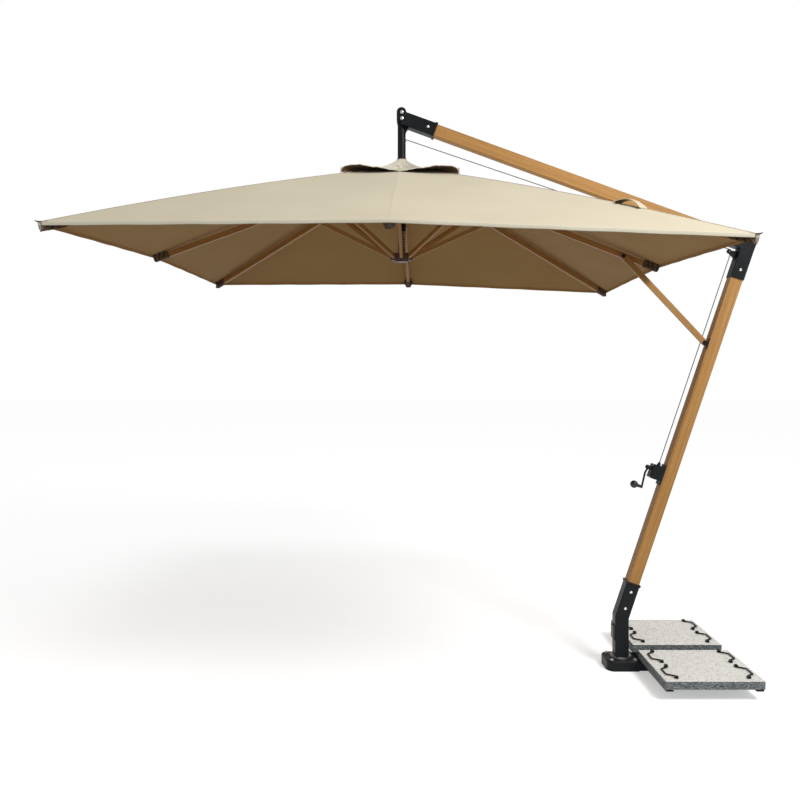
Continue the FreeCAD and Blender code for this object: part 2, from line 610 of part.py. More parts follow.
class Spoke:
    """One rib with its strut, drawn in the upright plane through the canopy's axis."""

    def __init__(self, rim):
        self.turn = math.degrees(math.atan2(rim.y, rim.x))
        self.reach = math.hypot(rim.x, rim.y)
        self.rest = self._rest_angle(rim.z)
        self.anchor = self._anchor()
        up = self.strut_pivot()
        low = V(STRUT_PIVOT_R, 0, STRUT_PIVOT_Z)
        self.strut_length = (low - up).Length
        self.strut_angle = math.degrees(math.atan2(up.z - low.z, up.x - low.x))

    def _rest_angle(self, rim_z):
        angle = math.radians(20)
        for _ in range(6):
            rise = RIB_PIVOT_Z + COVER_GAP / math.cos(angle) - rim_z
            angle = math.atan2(rise, self.reach - RIB_PIVOT_R)
        return math.degrees(angle)

    def _anchor(self):
        """Distance along the rib at which one strut length closes the linkage open and folded."""
        gap = RIB_PIVOT_R - STRUT_PIVOT_R
        open_h = RIB_PIVOT_Z - STRUT_PIVOT_Z
        fold_h = open_h + FOLD_TRAVEL
        s0 = math.sin(math.radians(self.rest))
        c0 = math.cos(math.radians(self.rest))
        s1 = math.sin(math.radians(FOLDED_ANGLE))
        c1 = math.cos(math.radians(FOLDED_ANGLE))
        turned = gap * (s0 - s1) + open_h * c0 - fold_h * c1
        return ((fold_h ** 2 - open_h ** 2) / 2 + STRUT_DROP * turned) / (
            gap * (c0 - c1) - open_h * s0 + fold_h * s1)

    def strut_pivot(self):
        s = math.sin(math.radians(self.rest))
        c = math.cos(math.radians(self.rest))
        return V(RIB_PIVOT_R + self.anchor * c - STRUT_DROP * s, 0,
                 RIB_PIVOT_Z - self.anchor * s - STRUT_DROP * c)

    def surface_z(self, radius):
        """Top of the fabric above this rib."""
        angle = math.radians(self.rest)
        return RIB_PIVOT_Z - (radius - RIB_PIVOT_R) * math.tan(angle) + COVER_GAP / math.cos(angle)

    def turned(self, shape):
        """From the spoke's plane to the canopy's place."""
        return placed(shape, FreeCAD.Placement(V(CANOPY_X, 0, 0), FreeCAD.Rotation(Z_AXIS, self.turn)))

    def rib(self):
        length = (self.reach - RIB_TIP_GAP - RIB_PIVOT_R) / math.cos(math.radians(self.rest))
        half_w = RIB_W / 2
        half_d = RIB_D / 2
        wood = block(0, length, -half_w, half_w, -half_d, half_d)
        wood = wood.fuse(rod(half_d, V(0, -half_w, 0), V(0, half_w, 0))).removeSplitter()
        wood = wood.cut(rod(RIB_PIN_R + RUNNING, V(0, -20, 0), V(0, 20, 0)))
        lie = FreeCAD.Placement(V(RIB_PIVOT_R, 0, RIB_PIVOT_Z), FreeCAD.Rotation(Y_AXIS, self.rest))
        return self.turned(placed(wood, lie))

    def strut(self):
        half_w = STRUT_W / 2
        half_d = STRUT_D / 2
        wood = block(0, self.strut_length, -half_w, half_w, -half_d, half_d)
        for x in (0, self.strut_length):
            wood = wood.fuse(rod(half_d, V(x, -half_w, 0), V(x, half_w, 0)))
        lean = FreeCAD.Rotation(Y_AXIS, -self.strut_angle)
        lie = FreeCAD.Placement(V(STRUT_PIVOT_R, 0, STRUT_PIVOT_Z), lean)
        return self.turned(placed(wood.removeSplitter(), lie))

    def hub_pin(self):
        pivot = V(RIB_PIVOT_R, 0, RIB_PIVOT_Z)
        return self.turned(rod(RIB_PIN_R, pivot - Y_AXIS * 18, pivot + Y_AXIS * 18))


SPOKES = [Spoke(rim) for rim in rim_points()]


def slotted_hub(z0, z1, core_r, slot_w, bore_r):
    """Hub with a slot for each spoke."""
    hub = at_canopy(ring(66, bore_r, z0, z1))
    for spoke in SPOKES:
        hub = hub.cut(spoke.turned(block(core_r, 90, -slot_w / 2, slot_w / 2, z0 - 1, z1 + 1)))
    return hub


def top_hub():
    hub = slotted_hub(2882, 2914, 37, RIB_W + 1, STUB_R + 0.1)
    for spoke in SPOKES:
        hub = hub.cut(spoke.hub_pin())
    return hub.fuse(at_canopy(ring(33, STUB_R + 0.1, 2862, 2882))).removeSplitter()


def top_hub_pins():
    return Part.makeCompound([spoke.hub_pin() for spoke in SPOKES])


def runner_hub():
    low = STRUT_PIVOT_Z - 20
    bore = ROPE_R + 0.2
    hub = slotted_hub(low, STRUT_PIVOT_Z + 20, 45, STRUT_W + 1.4, bore)
    return hub.fuse(at_canopy(ring(40, bore, low - 8, low))).removeSplitter()


def runner_buffer():
    """Ribbed sleeve that meets the end of the stub pole when the canopy is up."""
    low, high = STRUT_PIVOT_Z + 20, STUB_LOW_Z - 1
    bands = 8
    step = (high - low) / bands
    outer = []
    for i in range(bands):
        start = low + i * step
        outer += [V(20, 0, start), V(23, 0, start + 0.3 * step), V(23, 0, start + 0.7 * step)]
    outline = [V(17, 0, low)] + outer + [V(20, 0, high), V(17, 0, high), V(17, 0, low)]
    return at_canopy(Part.Face(Part.makePolygon(outline)).revolve(V(), Z_AXIS, 360))


def runner_rope():
    return at_canopy(rod(ROPE_R, V(0, 0, STRUT_PIVOT_Z - 10), V(0, 0, STUB_HIGH_Z - 7)))


def gored_shell(inner, outer, thickness):
    """Thin closed shell of triangles between an inner and an outer ring of points."""
    drop = V(0, 0, -thickness)
    faces = []

    def panel(*points):
        faces.append(Part.Face(Part.makePolygon(list(points) + [points[0]])))

    count = len(inner)
    for i in range(count):
        j = (i + 1) % count
        a, b, c, d = inner[i], inner[j], outer[j], outer[i]
        for shift in (V(), drop):
            panel(a + shift, b + shift, c + shift)
            panel(a + shift, c + shift, d + shift)
        for start, end in ((a, b), (c, d)):
            panel(start, end, end + drop)
            panel(start, end + drop, start + drop)
    return Part.Solid(Part.makeShell(faces))


def ring_of(radii, heights):
    points = []
    for spoke, radius, z in zip(SPOKES, radii, heights):
        turn = math.radians(spoke.turn)
        points.append(V(CANOPY_X + radius * math.cos(turn), radius * math.sin(turn), z))
    return points


def canopy():
    inner_r = 40
    inner = ring_of([inner_r] * 8, [s.surface_z(inner_r) for s in SPOKES])
    outer = ring_of([s.reach for s in SPOKES], [s.surface_z(s.reach) for s in SPOKES])
    return gored_shell(inner, outer, FABRIC)


def vent_cap():
    inner = ring_of([28] * 8, [CAP_TOP_Z] * 8)
    radii = [CAP_HALF * s.reach / HALF_X for s in SPOKES]
    heights = [s.surface_z(r) + CAP_GAP[i % 2] for i, (s, r) in enumerate(zip(SPOKES, radii))]
    return gored_shell(inner, ring_of(radii, heights), FABRIC)


# --- brace ----------------------------------------------------------------------------------------
def brace_pivot():
    return mast_point(-BRACE_PIVOT_OFFSET, BRACE_Y, BRACE_T)


def brace():
    pivot = brace_pivot()
    end = V(BRACE_END[0], BRACE_Y, BRACE_END[1])
    length = (end - pivot).Length
    angle = math.degrees(math.atan2(end.z - pivot.z, end.x - pivot.x))
    bar = block(0, length, -10, 10, -16, 16)
    for x in (0, length):
        bar = bar.fuse(rod(16, V(x, -10, 0), V(x, 10, 0)))
    bar = bar.removeSplitter().cut(rod(4 + RUNNING, V(0, -20, 0), V(0, 20, 0)))
    return placed(bar, FreeCAD.Placement(pivot, FreeCAD.Rotation(Y_AXIS, -angle)))


def brace_bracket():
    face = -WOOD_W / 2
    low, high = BRACE_Y - 14.5, BRACE_Y + 14.5
    plate = block(face - 3, face, low, high, BRACE_T - 32, BRACE_T + 32)
    for y in (low, high - 4):
        ear = block(-BRACE_PIVOT_OFFSET, face, y, y + 4, BRACE_T - 14, BRACE_T + 14)
        ear = ear.fuse(rod(14, V(-BRACE_PIVOT_OFFSET, y, BRACE_T), V(-BRACE_PIVOT_OFFSET, y + 4, BRACE_T)))
        plate = plate.fuse(ear)
    pin = rod(4, V(-BRACE_PIVOT_OFFSET, low - 4, BRACE_T), V(-BRACE_PIVOT_OFFSET, high + 4, BRACE_T))
    return on_mast(plate.fuse(pin).removeSplitter())


# --- write every node -----------------------------------------------------------------------------
os.makedirs("parts", exist_ok=True)

for name, make in {"base_hub": base_hub, "swivel_spindle": swivel_spindle, "base_bolts": base_bolts,
                   "base_frame": base_frame, "handle_sockets": handle_sockets}.items():
    save(name, make(), swung=False)
save("slab_front", slab(-1), swung=False)
save("slab_rear", slab(1), swung=False)
for number, place in enumerate(handle_places(), 1):
    save(f"handle_{number}", handle(*place), swung=False)

for make in (lower_post, cover_plate, sleeve_bolts, mast, elbow_bracket, arm,
             head_bracket, head_screws, stub_pole, stub_stop_screw, pulley_axles,
             pulley_bracket, hoist_rope, winch_housing, rope_guide, winch_drum,
             crank, crank_knob, top_hub, top_hub_pins, runner_hub, runner_buffer,
             runner_rope, canopy, vent_cap, brace, brace_bracket):
    save(make.__name__, make())
save("head_pulley", pulley(head_pulley_centre()))
save("elbow_pulley", pulley(elbow_pulley_centre()))
for number, spoke in enumerate(SPOKES, 1):
    save(f"rib_{number}", spoke.rib())
    save(f"strut_{number}", spoke.strut())
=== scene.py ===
"""Looks of the cantilever patio umbrella: canvas, timber, black metal, stone, light and camera."""

import json
import math

import bmesh
import bpy
import numpy as np
from mathutils import Matrix, Vector


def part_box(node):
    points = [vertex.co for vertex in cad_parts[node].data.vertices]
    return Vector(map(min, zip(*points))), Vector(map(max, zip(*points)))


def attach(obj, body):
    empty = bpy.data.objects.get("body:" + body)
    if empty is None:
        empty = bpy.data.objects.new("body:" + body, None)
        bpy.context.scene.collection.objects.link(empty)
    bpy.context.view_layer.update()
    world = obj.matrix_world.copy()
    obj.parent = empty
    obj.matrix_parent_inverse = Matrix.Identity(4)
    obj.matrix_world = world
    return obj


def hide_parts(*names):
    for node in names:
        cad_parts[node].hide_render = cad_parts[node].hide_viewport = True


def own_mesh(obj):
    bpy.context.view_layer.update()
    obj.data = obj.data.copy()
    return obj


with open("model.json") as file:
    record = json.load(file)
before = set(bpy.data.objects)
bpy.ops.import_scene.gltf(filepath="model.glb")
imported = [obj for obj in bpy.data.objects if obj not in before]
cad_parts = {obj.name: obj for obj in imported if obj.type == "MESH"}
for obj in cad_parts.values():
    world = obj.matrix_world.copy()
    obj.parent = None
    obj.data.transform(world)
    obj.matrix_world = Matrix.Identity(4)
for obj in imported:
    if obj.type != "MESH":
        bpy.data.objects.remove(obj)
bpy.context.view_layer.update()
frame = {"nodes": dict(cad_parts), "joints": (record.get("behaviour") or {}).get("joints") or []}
NODES = frame["nodes"]
JOINTS = {joint["name"]: joint for joint in frame["joints"]}
UP = Vector((0, 0, 1))

# --- sizes, metres ----------------------------------------------------------------------------------
CLOTH = 0.0016
RIB_BOW = 0.024  # how far the taut canvas stands off the middle of a rib
PANEL_SAG = 0.009
HEM_DROP = 0.017
HEM_THICK = 0.005
SEAM_HALF = 0.0055
GORE_ROWS = 48
GORE_COLUMNS = 26
CROWN_EDGE = 0.105
CAP_ROWS = 16
CAP_LIFT = 0.042
RIB_HALF = (0.011, 0.016)
COVER_GAP = 0.024  # canvas above a rib's centreline

CAMERA_PLACE = (-1.4168, -4.9529, 1.8089)
CAMERA_LENS = 38.11
CAMERA_SHIFT = (0.02721, -0.05408)


# --- material nodes ---------------------------------------------------------------------------------
class Finish:
    """A principled material with short helpers for the nodes that feed it."""

    def __init__(self, name, roughness=0.5, metallic=0.0):
        self.material = bpy.data.materials.new(name)
        self.material.use_nodes = True
        self.tree = self.material.node_tree
        self.shader = self.tree.nodes["Principled BSDF"]
        self.shader.inputs["Roughness"].default_value = roughness
        self.shader.inputs["Metallic"].default_value = metallic
        self.place = self.node("ShaderNodeTexCoord").outputs["Object"]

    def node(self, kind, **settings):
        made = self.tree.nodes.new(kind)
        for key, value in settings.items():
            setattr(made, key, value)
        return made

    def link(self, source, target):
        self.tree.links.new(source, target)

    def stretched(self, size, rotation=(0, 0, 0)):
        """Object coordinates turned by a rotation and divided by a feature size."""
        mapping = self.node("ShaderNodeMapping", vector_type="TEXTURE")
        mapping.inputs["Rotation"].default_value = rotation
        mapping.inputs["Scale"].default_value = size
        self.link(self.place, mapping.inputs["Vector"])
        return mapping.outputs["Vector"]

    def noise(self, place, scale=1.0, detail=4.0, roughness=0.55, distortion=0.0):
        noise = self.node("ShaderNodeTexNoise")
        noise.inputs["Scale"].default_value = scale
        noise.inputs["Detail"].default_value = detail
        noise.inputs["Roughness"].default_value = roughness
        noise.inputs["Distortion"].default_value = distortion
        self.link(place, noise.inputs["Vector"])
        return noise.outputs["Fac"]

    def wave(self, place, period, direction):
        wave = self.node("ShaderNodeTexWave", wave_type="BANDS", bands_direction=direction)
        wave.inputs["Scale"].default_value = 2 * math.pi / 20 / period
        self.link(place, wave.inputs["Vector"])
        return wave.outputs["Fac"]

    def cells(self, place, scale):
        cells = self.node("ShaderNodeTexVoronoi")
        cells.inputs["Scale"].default_value = scale
        self.link(place, cells.inputs["Vector"])
        return cells.outputs["Color"]

    def ramp(self, value, *stops):
        ramp = self.node("ShaderNodeValToRGB")
        elements = ramp.color_ramp.elements
        while len(elements) < len(stops):
            elements.new(0.5)
        for element, (position, color) in zip(elements, stops):
            element.position = position
            element.color = (*color, 1) if len(color) == 3 else color
        self.link(value, ramp.inputs["Fac"])
        return ramp.outputs["Color"]

    def mix(self, share, first, second, blend="MIX"):
        mix = self.node("ShaderNodeMix", data_type="RGBA", blend_type=blend)
        for socket, value in ((mix.inputs[0], share), (mix.inputs[6], first), (mix.inputs[7], second)):
            if isinstance(value, bpy.types.NodeSocket):
                self.link(value, socket)
            else:
                socket.default_value = value if isinstance(value, float) else (*value, 1)
        return mix.outputs[2]

    def maths(self, operation, *values):
        maths = self.node("ShaderNodeMath", operation=operation)
        for socket, value in zip(maths.inputs, values):
            if isinstance(value, bpy.types.NodeSocket):
                self.link(value, socket)
            else:
                socket.default_value = value
        return maths.outputs[0]

    def color(self, source):
        self.link(source, self.shader.inputs["Base Color"])

    def rough(self, source, low, high):
        spread = self.node("ShaderNodeMapRange")
        spread.inputs["To Min"].default_value = low
        spread.inputs["To Max"].default_value = high
        self.link(source, spread.inputs["Value"])
        self.link(spread.outputs["Result"], self.shader.inputs["Roughness"])

    def bump(self, height, strength, distance):
        bump = self.node("ShaderNodeBump")
        bump.inputs["Strength"].default_value = strength
        bump.inputs["Distance"].default_value = distance
        self.link(height, bump.inputs["Height"])
        self.link(bump.outputs["Normal"], self.shader.inputs["Normal"])


def canvas(name, thread, shade):
    """Woven awning canvas: a fine weave, faint mottling and a soft sheen."""
    finish = Finish(name, roughness=0.85)
    finish.shader.inputs["Sheen Weight"].default_value = 0.15
    finish.shader.inputs["Specular IOR Level"].default_value = 0.2
    mottle = finish.noise(finish.place, scale=2.2, detail=5.0)
    slub = finish.noise(finish.stretched((0.09, 0.0016, 0.0016)), detail=2.0)
    cloth = finish.ramp(mottle, (0.3, shade), (0.72, thread))
    finish.color(finish.mix(0.12, cloth, finish.ramp(slub, (0.35, shade), (0.65, thread)), "MULTIPLY"))
    weave = finish.maths("ADD", finish.wave(finish.place, 0.0016, "X"), finish.wave(finish.place, 0.0016, "Y"))
    finish.bump(finish.maths("ADD", weave, finish.maths("MULTIPLY", slub, 0.8)), 0.12, 0.0004)
    return finish.material


def timber(name, along, tone=1.0):
    """Oiled hardwood with its grain along a direction."""
    finish = Finish(name)
    turn = Vector((1, 0, 0)).rotation_difference(along).to_euler()
    figure = finish.noise(finish.stretched((0.55, 0.017, 0.017), turn), detail=6.0, distortion=0.6)
    pores = finish.noise(finish.stretched((0.05, 0.0016, 0.0016), turn), detail=3.0)
    streak = finish.noise(finish.stretched((1.3, 0.006, 0.006), turn), detail=2.0)
    light = (0.62 * tone, 0.325 * tone, 0.092 * tone)
    middle = (0.51 * tone, 0.250 * tone, 0.060 * tone)
    dark = (0.33 * tone, 0.145 * tone, 0.030 * tone)
    wood = finish.ramp(figure, (0.28, dark), (0.47, middle), (0.72, light))
    wood = finish.mix(0.45, wood, finish.ramp(streak, (0.32, dark), (0.6, light)))
    finish.color(finish.mix(0.25, wood, finish.ramp(pores, (0.34, (0.25, 0.2, 0.16)), (0.5, (1, 1, 1))), "MULTIPLY"))
    finish.rough(figure, 0.42, 0.6)
    finish.bump(finish.maths("ADD", pores, finish.maths("MULTIPLY", figure, 0.6)), 0.25, 0.0006)
    return finish.material


def powder_coat(name, tint=(0.0032, 0.0048, 0.0060)):
    finish = Finish(name, roughness=0.42)
    finish.shader.inputs["Specular IOR Level"].default_value = 0.22
    patch = finish.noise(finish.place, scale=14.0)
    lighter = tuple(channel * 1.9 + 0.002 for channel in tint)
    finish.color(finish.ramp(patch, (0.35, tint), (0.8, lighter)))
    finish.rough(patch, 0.34, 0.52)
    finish.bump(finish.noise(finish.place, scale=1100.0, detail=2.0), 0.12, 0.0003)
    return finish.material


def bare_metal(name, tint=(0.78, 0.78, 0.77), roughness=0.25):
    finish = Finish(name, roughness, metallic=1.0)
    marks = finish.noise(finish.stretched((0.02, 0.0008, 0.002)), detail=3.0)
    finish.color(finish.ramp(marks, (0.2, tuple(c * 0.82 for c in tint)), (0.8, tint)))
    finish.rough(marks, roughness - 0.06, roughness + 0.12)
    return finish.material


def moulded(name, tint, roughness=0.4):
    finish = Finish(name, roughness)
    patch = finish.noise(finish.place, scale=60.0)
    finish.color(finish.ramp(patch, (0.3, tint), (0.8, tuple(c * 1.35 + 0.003 for c in tint))))
    finish.rough(patch, roughness - 0.06, roughness + 0.1)
    finish.bump(finish.noise(finish.place, scale=700.0, detail=2.0), 0.1, 0.0003)
    return finish.material


def banded_rubber(name, node, bands):
    """Copper-brown sleeve, darker in each of its grooves: painted shade."""
    finish = Finish(name, roughness=0.5)
    low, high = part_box(node)
    height = finish.node("ShaderNodeSeparateXYZ")
    finish.link(finish.place, height.inputs["Vector"])
    turns = finish.maths("MULTIPLY", finish.maths("SUBTRACT", height.outputs["Z"], low[2]), bands / (high[2] - low[2]))
    across = finish.maths("FRACT", turns)
    # painted shade: the near-black stops at both ends of each band darken the grooves
    finish.color(finish.ramp(across, (0.12, (0.035, 0.018, 0.009)), (0.3, (0.30, 0.17, 0.065)),
                             (0.7, (0.34, 0.20, 0.08)), (0.88, (0.035, 0.018, 0.009))))
    return finish.material


def granite(name):
    """Pale speckled top, and darker speckled edges where the slab is sawn."""
    finish = Finish(name, roughness=0.7)
    grains = finish.cells(finish.place, 210.0)
    specks = finish.cells(finish.place, 120.0)
    cloud = finish.noise(finish.place, scale=30.0, detail=6.0)
    red = finish.node("ShaderNodeSeparateColor")
    finish.link(grains, red.inputs["Color"])
    coarse = finish.node("ShaderNodeSeparateColor")
    finish.link(specks, coarse.inputs["Color"])
    top = finish.ramp(red.outputs["Red"], (0.0, (0.55, 0.50, 0.42)), (0.10, (0.84, 0.80, 0.70)),
                      (0.3, (0.95, 0.94, 0.90)), (0.9, (0.97, 0.97, 0.95)))
    top = finish.mix(0.25, top, finish.ramp(cloud, (0.35, (0.78, 0.75, 0.66)), (0.6, (1, 1, 1))), "MULTIPLY")
    flecks = finish.ramp(coarse.outputs["Green"], (0.05, (0.42, 0.40, 0.36)), (0.09, (1, 1, 1)))
    top = finish.mix(0.6, top, flecks, "MULTIPLY")
    edge = finish.ramp(red.outputs["Green"], (0.0, (0.045, 0.055, 0.06)), (0.35, (0.12, 0.14, 0.145)),
                       (0.8, (0.24, 0.26, 0.26)), (0.97, (0.45, 0.46, 0.45)))
    facing = finish.node("ShaderNodeSeparateXYZ")
    finish.link(finish.node("ShaderNodeTexCoord").outputs["Normal"], facing.inputs["Vector"])
    upward = finish.maths("GREATER_THAN", facing.outputs["Z"], 0.5)
    finish.color(finish.mix(upward, edge, top))
    finish.rough(red.outputs["Blue"], 0.55, 0.85)
    finish.bump(finish.maths("ADD", cloud, finish.noise(finish.place, scale=420.0)), 0.35, 0.0012)
    return finish.material


def braid(name):
    """Braided cord, crossed ridges a few millimetres apart."""
    finish = Finish(name, roughness=0.8)
    strands = finish.cells(finish.place, 420.0)
    fuzz = finish.noise(finish.place, scale=900.0)
    finish.color(finish.ramp(fuzz, (0.3, (0.045, 0.05, 0.055)), (0.7, (0.16, 0.165, 0.17))))
    finish.bump(strands, 0.6, 0.0006)
    return finish.material


CREAM = ((0.74, 0.665, 0.50), (0.68, 0.605, 0.45))
outer_canvas = canvas("canvas outside", *CREAM)
under_canvas = canvas("canvas underside", (0.67, 0.415, 0.16), (0.60, 0.36, 0.13))
hem_canvas = canvas("hem", (0.86, 0.81, 0.66), (0.80, 0.74, 0.58))
cap_canvas = canvas("cap canvas", (0.78, 0.74, 0.63), (0.66, 0.61, 0.50))
# painted shade: the cap's underside and the pull loop's inside get a near-black brown, far darker than the canopy's
# underside, standing in for the shade that falls there
cap_underside_painted_shade = canvas("cap underside painted shade", (0.10, 0.055, 0.025), (0.07, 0.038, 0.018))
pocket_cloth = canvas("pocket canvas", (0.24, 0.155, 0.085), (0.16, 0.10, 0.055))
pocket_tape = canvas("pocket tape", (0.10, 0.055, 0.035), (0.06, 0.035, 0.022))
ring_cloth = canvas("ring tape", (0.22, 0.045, 0.03), (0.15, 0.03, 0.022))
black_coat = powder_coat("black powder coat")
plate_coat = powder_coat("grey cover", (0.11, 0.11, 0.105))
bolt_steel = bare_metal("bolt steel")
pin_steel = bare_metal("pin steel", (0.42, 0.41, 0.4), 0.35)
hub_bronze = moulded("hub casting", (0.055, 0.022, 0.012), 0.42)
buffer_rubber = banded_rubber("buffer rubber", "runner_buffer", 8)
black_plastic = moulded("black plastic", (0.012, 0.013, 0.015), 0.28)
tip_plastic = moulded("tip cap", (0.03, 0.021, 0.015), 0.6)
tip_grey = moulded("corner tip", (0.36, 0.36, 0.35), 0.35)
stone = granite("granite slab")
rope_braid = braid("rope")


# --- mesh helpers -----------------------------------------------------------------------------------
def piece(name, points, faces, materials, body, sharp=35):
    """A closed mesh piece that rides on a body. faces holds (indices, material number) or indices."""
    mesh = bpy.data.meshes.new(name)
    plain = [face[0] if isinstance(face[0], (list, tuple)) else face for face in faces]
    mesh.from_pydata([tuple(p) for p in points], [], [list(face) for face in plain])
    for material in materials:
        mesh.materials.append(material)
    for polygon, face in zip(mesh.polygons, faces):
        if isinstance(face[0], (list, tuple)):
            polygon.material_index = face[1]
    tidy = bmesh.new()
    tidy.from_mesh(mesh)
    bmesh.ops.remove_doubles(tidy, verts=tidy.verts, dist=1e-6)
    bmesh.ops.recalc_face_normals(tidy, faces=tidy.faces)
    tidy.to_mesh(mesh)
    tidy.free()
    mesh.shade_smooth()
    mesh.set_sharp_from_angle(angle=math.radians(sharp))
    obj = bpy.data.objects.new(name, mesh)
    bpy.context.scene.collection.objects.link(obj)
    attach(obj, body)
    return obj


def skin(rows, thickness, inner_material=1):
    """Points and faces of a sheet: a grid of outer points, thickened inwards along its own normals."""
    high, wide = len(rows), len(rows[0])
    outer = [p for row in rows for p in row]
    inner = []
    for i in range(high):
        for j in range(wide):
            down = rows[min(i + 1, high - 1)][j] - rows[max(i - 1, 0)][j]
            over = rows[i][min(j + 1, wide - 1)] - rows[i][max(j - 1, 0)]
            normal = over.cross(down).normalized()
            if normal.z < 0:
                normal = -normal
            inner.append(rows[i][j] - normal * thickness)
    faces = []
    size = high * wide
    for i in range(high - 1):
        for j in range(wide - 1):
            a, b, c, d = (i * wide + j, i * wide + j + 1, (i + 1) * wide + j + 1, (i + 1) * wide + j)
            faces.append(([a, b, c, d], 0))
            faces.append(([size + d, size + c, size + b, size + a], inner_material))
    border = [(i, 0) for i in range(high)] + [(high - 1, j) for j in range(1, wide)]
    border += [(i, wide - 1) for i in range(high - 2, -1, -1)] + [(0, j) for j in range(wide - 2, 0, -1)]
    ring = [i * wide + j for i, j in border]
    for a, b in zip(ring, ring[1:] + ring[:1]):
        faces.append(([a, b, size + b, size + a], 0))
    return outer + inner, faces


def loft(sections):
    """Closed solid through rings of points that all have the same count."""
    count = len(sections[0])
    points = [p for ring in sections for p in ring]
    faces = [list(range(count))[::-1], [len(points) - count + i for i in range(count)]]
    for i in range(len(sections) - 1):
        for j in range(count):
            k = (j + 1) % count
            faces.append([i * count + j, i * count + k, (i + 1) * count + k, (i + 1) * count + j])
    return points, faces


def rounded_box_ring(centre, across, upward, half_across, half_up, radius=0.002, steps=3):
    """Ring of points round a rectangle with rounded corners."""
    ring = []
    for sx, sy, start in ((1, 1, 0), (-1, 1, 90), (-1, -1, 180), (1, -1, 270)):
        for i in range(steps + 1):
            angle = math.radians(start + 90 * i / steps)
            x = sx * (half_across - radius) + radius * math.cos(angle)
            y = sy * (half_up - radius) + radius * math.sin(angle)
            ring.append(centre + across * x + upward * y)
    return ring


def turned(name, centre, axis, profile, materials, body, segments=32, sharp=35):
    """Solid of revolution: profile is (distance along the axis, radius) from end to end."""
    side = axis.orthogonal().normalized()
    other = axis.cross(side)
    sections = []
    for along, radius in profile:
        ring = [centre + axis * along + side * radius * math.cos(t) + other * radius * math.sin(t)
                for t in (2 * math.pi * i / segments for i in range(segments))]
        sections.append(ring)
    points, faces = loft(sections)
    return piece(name, points, faces, materials, body, sharp)


# --- the canopy's spokes, from the frame --------------------------------------------------------------
class Spoke:
    """One rib of the canopy: its number, directions, pivots and the canvas above it."""

    def __init__(self, number):
        joint = JOINTS[f"rib_{number}_fold"]
        self.number = number
        self.body = f"rib_{number}"
        self.tangent = Vector(joint["axis"])
        self.radial = Vector((self.tangent.y, -self.tangent.x, 0))
        self.pivot = Vector(joint["pos_m"])
        self.strut_top = Vector(JOINTS[f"strut_{number}_fold"]["pos_m"])

    def find_canvas(self, axis):
        """Top of the canvas at its inner ring and its rim, read from the CAD shell's corners."""
        corners = [v.co.copy() for v in NODES["canopy"].data.vertices]
        on_spoke = [c for c in corners if abs((c - axis).dot(self.tangent)) < 0.005 and (c - axis).dot(self.radial) > 0]
        on_spoke.sort(key=lambda c: ((c - axis).dot(self.radial), c.z))
        self.inner = max(on_spoke[:2], key=lambda c: c.z)
        self.rim = max(on_spoke[-2:], key=lambda c: c.z)
        self.along = (self.rim - self.inner).normalized()
        self.above = self.along.cross(self.tangent).normalized()
        if self.above.z < 0:
            self.above = -self.above
        self.reach = (self.rim - self.inner).length
        tip = [v.co for v in NODES[self.body].data.vertices]
        self.length = max((c - self.pivot).dot(self.along) for c in tip)

    def on_rib(self, along, above=0.0, across=0.0):
        """A point from the pivot along the rib's centreline, above it and across it."""
        return self.pivot + self.along * along + self.above * above + self.tangent * across

    def canvas_top(self, share):
        point = self.inner.lerp(self.rim, share)
        point.z += RIB_BOW * 4 * share * (1 - share)
        return point


SPOKES = [Spoke(number) for number in range(1, 9)]
AXIS = sum((spoke.pivot for spoke in SPOKES), Vector()) / len(SPOKES)
AXIS.z = 0
for spoke in SPOKES:
    spoke.find_canvas(AXIS)
STUB_R = (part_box("stub_pole")[1][0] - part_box("stub_pole")[0][0]) / 2


def neighbours(index):
    return SPOKES[index - 1], SPOKES[(index + 1) % len(SPOKES)]


def canopy_point(here, there, u, s):
    """Outer surface between two spokes: u from one to the other, s from the crown to the rim."""
    point = here.canvas_top(s).lerp(there.canvas_top(s), u)
    between = math.sin(math.pi * u)
    point.z -= PANEL_SAG * between * math.sin(math.pi * s) ** 0.8
    ripple = math.sin(2 * math.pi * (5 * u + 0.15 * math.sin(7 * s))) * between
    point.z += 0.0011 * ripple * s * s
    inward = (AXIS - point) * Vector((1, 1, 0))
    return point + inward.normalized() * 0.006 * between * s ** 6


def gore_columns(count, tightest=1.5):
    """Column places from -0.5 to 0.5, closer together over the rib."""
    for i in range(count + 1):
        t = 2 * i / count - 1
        yield 0.5 * math.copysign(abs(t) ** tightest, t)


def gore_point(index, column, s):
    before, after = neighbours(index)
    spoke = SPOKES[index]
    if column < 0:
        return canopy_point(before, spoke, 1 + column, s)
    return canopy_point(spoke, after, column, s)


def folds_with(obj):
    """Gives the piece its own copy of its mesh data."""
    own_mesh(obj)
    return obj


def make_gore(index):
    spoke = SPOKES[index]
    columns = list(gore_columns(GORE_COLUMNS))
    rows = [[gore_point(index, c, i / GORE_ROWS) for c in columns] for i in range(GORE_ROWS + 1)]
    points, faces = skin(rows, CLOTH)
    gore = piece(f"canopy_gore_{spoke.number}", points, faces, [outer_canvas, under_canvas], spoke.body)
    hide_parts("canopy")
    hem = make_hem(index, columns)
    seam = make_seam(index)
    for obj in (gore, hem, seam):
        folds_with(obj)


